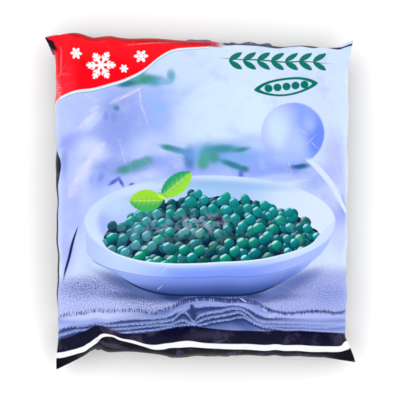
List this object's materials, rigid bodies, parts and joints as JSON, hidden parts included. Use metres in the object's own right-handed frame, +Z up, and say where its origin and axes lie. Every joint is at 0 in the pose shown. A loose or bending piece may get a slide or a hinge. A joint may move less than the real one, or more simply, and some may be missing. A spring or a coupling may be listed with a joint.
{
  "type": "frozen vegetable bag",
  "caption": "Sealed, filled pillow bag of frozen peas in printed film, lying on its back with the end seals folded behind and corner ears showing.",
  "frame": {"origin": "under the middle of the bag, on the surface that it lies on", "axes": "+Z up out of the printed front, +Y towards the top seal of the print, +X to the right across the front"},
  "size_m": [0.2436, 0.2644, 0.0408],
  "materials": {
    "film": "printed polyethylene film, soft gloss"
  },
  "bodies": {
    "root": {"bag": "film"}
  },
  "joints": []
}
